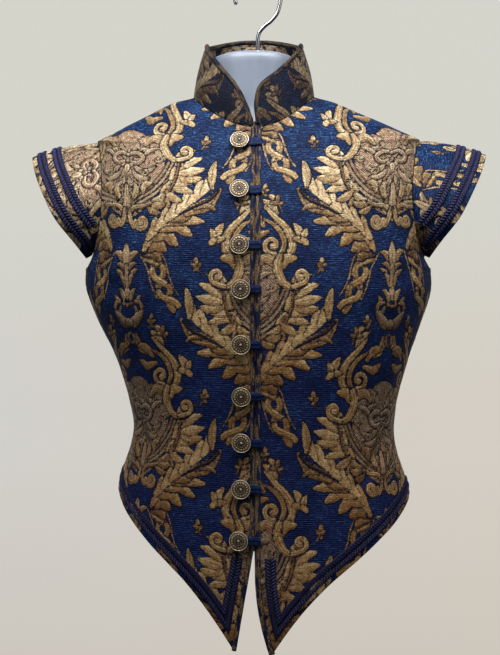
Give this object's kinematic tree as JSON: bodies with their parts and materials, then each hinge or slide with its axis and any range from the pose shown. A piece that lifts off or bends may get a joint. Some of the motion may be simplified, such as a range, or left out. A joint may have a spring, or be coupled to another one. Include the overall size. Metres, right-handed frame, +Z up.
{
  "type": "waistcoat on a hanging torso form",
  "caption": "Sleeveless damask doublet-style waistcoat with stand collar, cap sleeves, button and loop closing and pointed hem, worn by a limbless torso form that hangs by a hook",
  "frame": {"origin": "the inside top of the form's hook, where it rests on a rail", "axes": "+Z up, the garment's front faces -Y, +X towards the wearer's left"},
  "size_m": [0.535, 0.2523, 0.7742],
  "materials": {
    "brocade": "navy blue damask with raised old-gold and bronze scroll and acanthus pattern, soft sheen",
    "collar_brocade": "the same damask, mostly navy, with bronze leaves",
    "rolled_edge": "damask rolled over a cord, bronze and navy dashes",
    "braid": "plaited navy and violet-blue braid, satin strands with dark gaps",
    "loop_cloth": "plain royal blue cloth tab",
    "button_brass": "antique filigree with dark recesses and a bright worn rim",
    "form_plastic": "smooth white moulded plastic, slightly blue",
    "hook_chrome": "polished chrome-plated wire"
  },
  "bodies": {
    "root": {"front_left": "brocade", "front_right": "brocade", "back": "brocade", "sleeve_cap_left": "brocade", "sleeve_cap_right": "brocade", "collar": "collar_brocade", "collar_binding": "rolled_edge", "front_piping_left": "rolled_edge", "front_piping_right": "rolled_edge", "hem_braid_front_left": "braid", "hem_braid_front_right": "braid", "hem_braid_back": "braid", "sleeve_braid_outer_left": "braid", "sleeve_braid_outer_right": "braid", "sleeve_braid_inner_left": "braid", "sleeve_braid_inner_right": "braid", "button_1": "button_brass", "button_2": "button_brass", "button_3": "button_brass", "button_4": "button_brass", "button_5": "button_brass", "button_6": "button_brass", "button_7": "button_brass", "button_8": "button_brass", "button_9": "button_brass", "loop_1": "loop_cloth", "loop_2": "loop_cloth", "loop_3": "loop_cloth", "loop_4": "loop_cloth", "loop_5": "loop_cloth", "loop_6": "loop_cloth", "loop_7": "loop_cloth", "loop_8": "loop_cloth", "loop_9": "loop_cloth", "torso_form": "form_plastic", "hook": "hook_chrome"}
  },
  "joints": []
}
